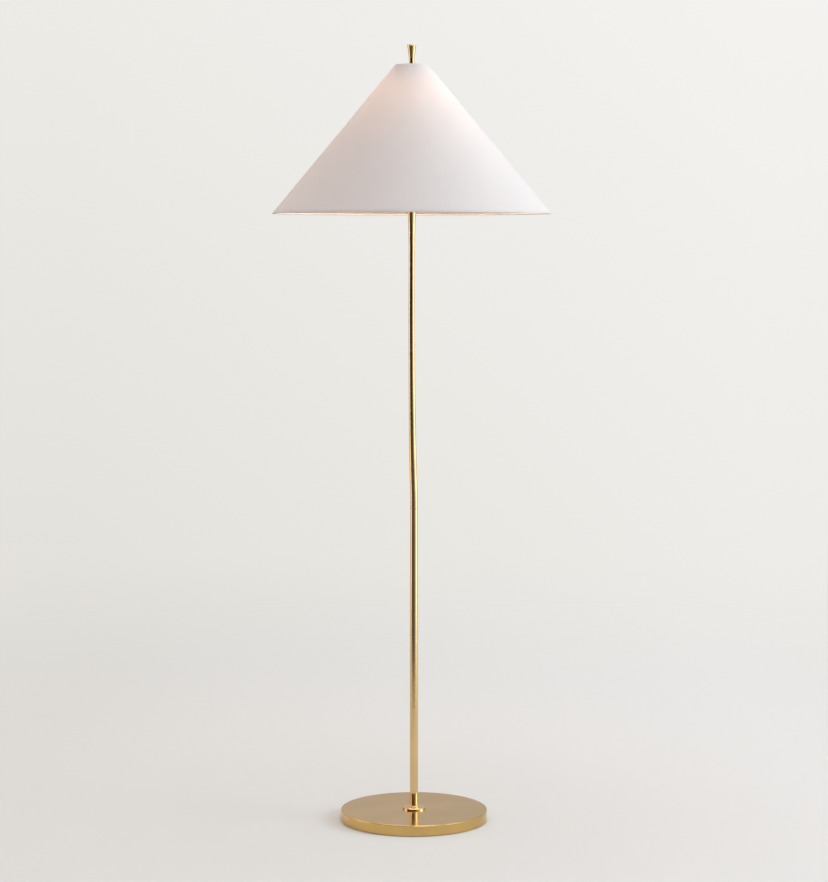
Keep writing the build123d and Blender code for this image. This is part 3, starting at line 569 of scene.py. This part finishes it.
def seam_lap():
    """The lap where the sheet's two straight edges meet, up the back of the shade."""
    points, faces, flat = [], [], []
    across = [(-1, -CLOTH / 2)] + [(2 * step / SEAM_STEPS - 1, CLOTH) for step in range(SEAM_STEPS + 1)]
    across += [(1, -CLOTH / 2)]
    count = len(across)
    for row in range(SHADE_ROWS + 1):
        radius, height = on_cone(OUTER_LOW, OUTER_HIGH, SEAM_END + (1 - 2 * SEAM_END) * row / SHADE_ROWS)
        for side, lift in across:
            angle = SEAM_BEARING + side * SEAM_WIDTH / 2 / radius
            reach = ease(radius, height, angle)[0] + lift
            points.append((HEAD_X + reach * cos(angle), reach * sin(angle), height))
            flat.append((side * SEAM_WIDTH / 2, radius / SIN_HALF))
            if row < SHADE_ROWS:
                here = len(points) - 1
                after = here + 1 if (here + 1) % count else here + 1 - count
                faces.append((here, after, after + count, here + count))
    faces.append(tuple(range(count))[::-1])
    faces.append(tuple(range(SHADE_ROWS * count, (SHADE_ROWS + 1) * count)))
    corners = [flat[index] for face in faces for index in face]
    return mesh_piece("linen_seam", points, faces, "shade", "linen", flat=corners)


def linen_shade():
    points, faces = lathe(linen_outline(), SHADE_SEGMENTS, HEAD_X, ease)
    flat = flat_places(points, faces)
    cloth = mesh_piece("linen_shade", points, faces, "shade", "linen", ["shade_linen"], flat)
    seam_lap()


def styrene_lining():
    bottom, top = shade_low.z + LINING_INSET, shade_high.z - LINING_INSET
    outline = between((INNER_LOW, bottom), (INNER_HIGH, top), SHADE_ROWS) + [(INNER_HIGH, top)]
    outline += between((SHEET_HIGH, top), (SHEET_LOW, bottom), SHADE_ROWS) + [(SHEET_LOW, bottom)]
    points, faces = lathe(outline[::-1], SHADE_SEGMENTS, HEAD_X, ease)
    mesh_piece("styrene_lining", points, faces, "shade", "styrene", ["shade_styrene"])


linen_shade()
styrene_lining()


# ---- studio -----------------------------------------------------------------------------

FLOOR_RADIUS = 4.2
FLOOR_RINGS = 24
FLOOR_SEGMENTS = 96
FLOOR_FADE = (1.0, 4.1)
# Painted shade on the floor: its colour runs from darker on the left to lighter on the right, where the key light
# comes from
FLOOR_SHADED_LEFT = (0.562, 0.569, 0.552)
FLOOR_LIT_RIGHT = (0.64, 0.655, 0.65)
FLOOR_SHADE_SPAN = (-0.8, 0.8)
FLOOR_FIBRE = 0.985
FLOOR_FRONT = 0.9  # the floor ends this much sooner in front, where the studio is dark
# Painted shade on the backdrop: darker on the left and lower down, lighter on the right and higher up
BACKDROP_SHADED_LEFT = ((0.738, 0.718, 0.669), (0.845, 0.836, 0.800))
BACKDROP_LIT_RIGHT = ((0.820, 0.808, 0.772), (0.905, 0.896, 0.876))
BACKDROP_HEIGHTS = (-0.24, 0.12)
BACKDROP_SIDES = (-0.14, 0.14)


def floor():
    """Pale floor that fades out into the backdrop away from the lamp."""
    turns = [tau * step / FLOOR_SEGMENTS for step in range(FLOOR_SEGMENTS)]
    points = [(0.0, 0.0, 0.0)]
    faces = []
    for ring in range(1, FLOOR_RINGS + 1):
        radius = FLOOR_RADIUS * ring / FLOOR_RINGS
        points += [(radius * cos(turn), radius * sin(turn), 0.0) for turn in turns]
    for step in range(FLOOR_SEGMENTS):
        after = (step + 1) % FLOOR_SEGMENTS
        faces.append((0, 1 + step, 1 + after))
        for ring in range(FLOOR_RINGS - 1):
            low = 1 + ring * FLOOR_SEGMENTS
            high = low + FLOOR_SEGMENTS
            faces.append((low + step, high + step, high + after, low + after))
    data = bpy.data.meshes.new("floor")
    data.from_pydata(points, [], faces)
    made, tree, shader = surface("floor_paper")
    where = place(tree)
    split = add(tree, "ShaderNodeSeparateXYZ", Vector=where)
    distance = add(tree, "ShaderNodeVectorMath", {"operation": "LENGTH"})
    tree.links.new(where, distance.inputs[0])
    ahead = math(tree, "MAXIMUM", math(tree, "MULTIPLY", split.outputs[1], -FLOOR_FRONT), 0.0)
    reach = math(tree, "ADD", distance.outputs["Value"], ahead)
    fibre = cloud(tree, where, 300.0, 4.0)
    # Painted shade: the floor's colour is darker to the left and lighter to the right
    side = spread(tree, split.outputs[0], 0.0, 1.0, *FLOOR_SHADE_SPAN)
    tones = [
        mix(tree, side, shaded(FLOOR_SHADED_LEFT, tone), shaded(FLOOR_LIT_RIGHT, tone)) for tone in (1.0, FLOOR_FIBRE)
    ]
    plug(
        tree,
        shader,
        Base_Color=mix(tree, spread(tree, fibre, 0.0, 1.0), *tones),
        Roughness=0.9,
        Specular_IOR_Level=0.1,
        Normal=bump(tree, fibre, 5e-5),
    )
    near, far = FLOOR_FADE
    smooth = {"interpolation_type": "SMOOTHSTEP"}
    fade = add(tree, "ShaderNodeMapRange", smooth, Value=reach, From_Min=near, From_Max=far)
    gone = add(tree, "ShaderNodeBsdfTransparent")
    finish_with(tree, blend(tree, fade.outputs[0], shader.outputs[0], gone.outputs[0]))
    data.materials.append(made)
    sheet = bpy.data.objects.new("floor", data)
    bpy.context.scene.collection.objects.link(sheet)


# Brightness of the room around the lamp at eye level, by compass direction: degrees from -Y,
# which is straight in front of the lamp, and positive towards +X
ROOM = [
    (-180, 0.80),
    (-140, 0.60),
    (-114, 0.90),
    (-100, 2.80),
    (-82, 2.80),
    (-75, 0.90),
    (-64, 0.015),
    (16, 0.015),
    (24, 0.50),
    (38, 1.10),
    (62, 1.70),
    (78, 4.40),
    (96, 4.40),
    (110, 1.10),
    (150, 0.76),
    (180, 0.80),
]
ROOM_LEVEL = 0.55
ROOM_STRENGTH = 1.38
WARM_SIDE = (1.0, 0.83, 0.745)
COOL_SIDE = (0.94, 0.97, 1.0)
SIDE_SPREAD = (-0.75, 0.45)
CEILING_LEVEL = 1.04
CEILING_HEIGHTS = (0.20, 0.50)
PANEL_LEVEL = 3.0
PANEL_HEIGHTS = (0.83, 0.90)
GROUND = (0.42, 0.41, 0.39)
GROUND_SHARE = 0.20
GROUND_HEIGHTS = (-0.02, -0.10)


def world():
    """A pale backdrop, and the room that the metal mirrors and that lights the lamp."""
    made = bpy.data.worlds.new("studio")
    made.use_nodes = True
    tree = made.node_tree
    tree.nodes.clear()
    split = add(tree, "ShaderNodeSeparateXYZ", Vector=add(tree, "ShaderNodeTexCoord").outputs["Generated"])
    x, y, z = split.outputs
    bearing = math(tree, "ARCTAN2", x, math(tree, "MULTIPLY", y, -1.0))
    ramp = tree.nodes.new("ShaderNodeValToRGB")
    tree.links.new(math(tree, "MULTIPLY_ADD", bearing, 1 / tau, 0.5), ramp.inputs[0])
    stops = ramp.color_ramp.elements
    stops.remove(stops[1])
    for index, (degrees, level) in enumerate(ROOM):
        stop = stops.new(degrees / 360 + 0.5) if index else stops[0]
        stop.color = (*[ROOM_LEVEL * level] * 3, 1)
    overhead = spread(tree, z, 0.0, 1.0, *CEILING_HEIGHTS)
    panel = spread(tree, z, CEILING_LEVEL, PANEL_LEVEL, *PANEL_HEIGHTS)
    ceiling = math(tree, "MULTIPLY", panel, ROOM_LEVEL)
    level = mix(tree, overhead, ramp.outputs[0], ceiling)
    tint = mix(tree, spread(tree, x, 0.0, 1.0, *SIDE_SPREAD), WARM_SIDE, COOL_SIDE)
    lit = add(tree, "ShaderNodeVectorMath", {"operation": "MULTIPLY"})
    tree.links.new(level, lit.inputs[0])
    tree.links.new(tint, lit.inputs[1])
    under = spread(tree, z, GROUND_SHARE, 0.0, GROUND_HEIGHTS[1], GROUND_HEIGHTS[0])
    around_lamp = mix(tree, under, lit.outputs[0], GROUND)
    room = add(tree, "ShaderNodeBackground", Color=around_lamp, Strength=ROOM_STRENGTH)
    # Painted shade on the backdrop: darker to the left and lower down
    height = spread(tree, z, 0.0, 1.0, *BACKDROP_HEIGHTS)
    side = spread(tree, x, 0.0, 1.0, *BACKDROP_SIDES)
    left = mix(tree, height, *BACKDROP_SHADED_LEFT)
    right = mix(tree, height, *BACKDROP_LIT_RIGHT)
    backdrop = add(tree, "ShaderNodeBackground", Color=mix(tree, side, left, right))
    seen = add(tree, "ShaderNodeLightPath").outputs["Is Camera Ray"]
    add(tree, "ShaderNodeOutputWorld", Surface=blend(tree, seen, room.outputs[0], backdrop.outputs[0]))
    bpy.context.scene.world = made


def distant_light(name, comes_from, power, breadth, tint):
    """Soft light from far off; breadth is its width in degrees."""
    data = bpy.data.lights.new(name, "SUN")
    data.energy = power
    data.angle = radians(breadth)
    data.color = tint
    made = bpy.data.objects.new(name, data)
    made.rotation_euler = Vector(comes_from).to_track_quat("Z", "Y").to_euler()
    bpy.context.scene.collection.objects.link(made)


CAMERA_PLACE = (0.0, -4.572, 1.099)
CAMERA_LENS = 99.0
CAMERA_SENSOR = 36.0
CAMERA_DIP = 4.656  # degrees below level
KEY_FROM = (0.96, -0.22, 0.54)
KEY_POWER = 1.1
KEY_BREADTH = 26
KEY_TINT = (0.88, 0.95, 1.0)


def camera():
    data = bpy.data.cameras.new("camera")
    data.lens = CAMERA_LENS
    data.sensor_width = CAMERA_SENSOR
    made = bpy.data.objects.new("camera", data)
    made.location = CAMERA_PLACE
    made.rotation_euler = (radians(90 - CAMERA_DIP), 0.0, 0.0)
    bpy.context.scene.collection.objects.link(made)
    bpy.context.scene.camera = made


camera()
floor()
world()
distant_light("key", KEY_FROM, KEY_POWER, KEY_BREADTH, KEY_TINT)
bpy.context.scene.view_settings.view_transform = "Standard"
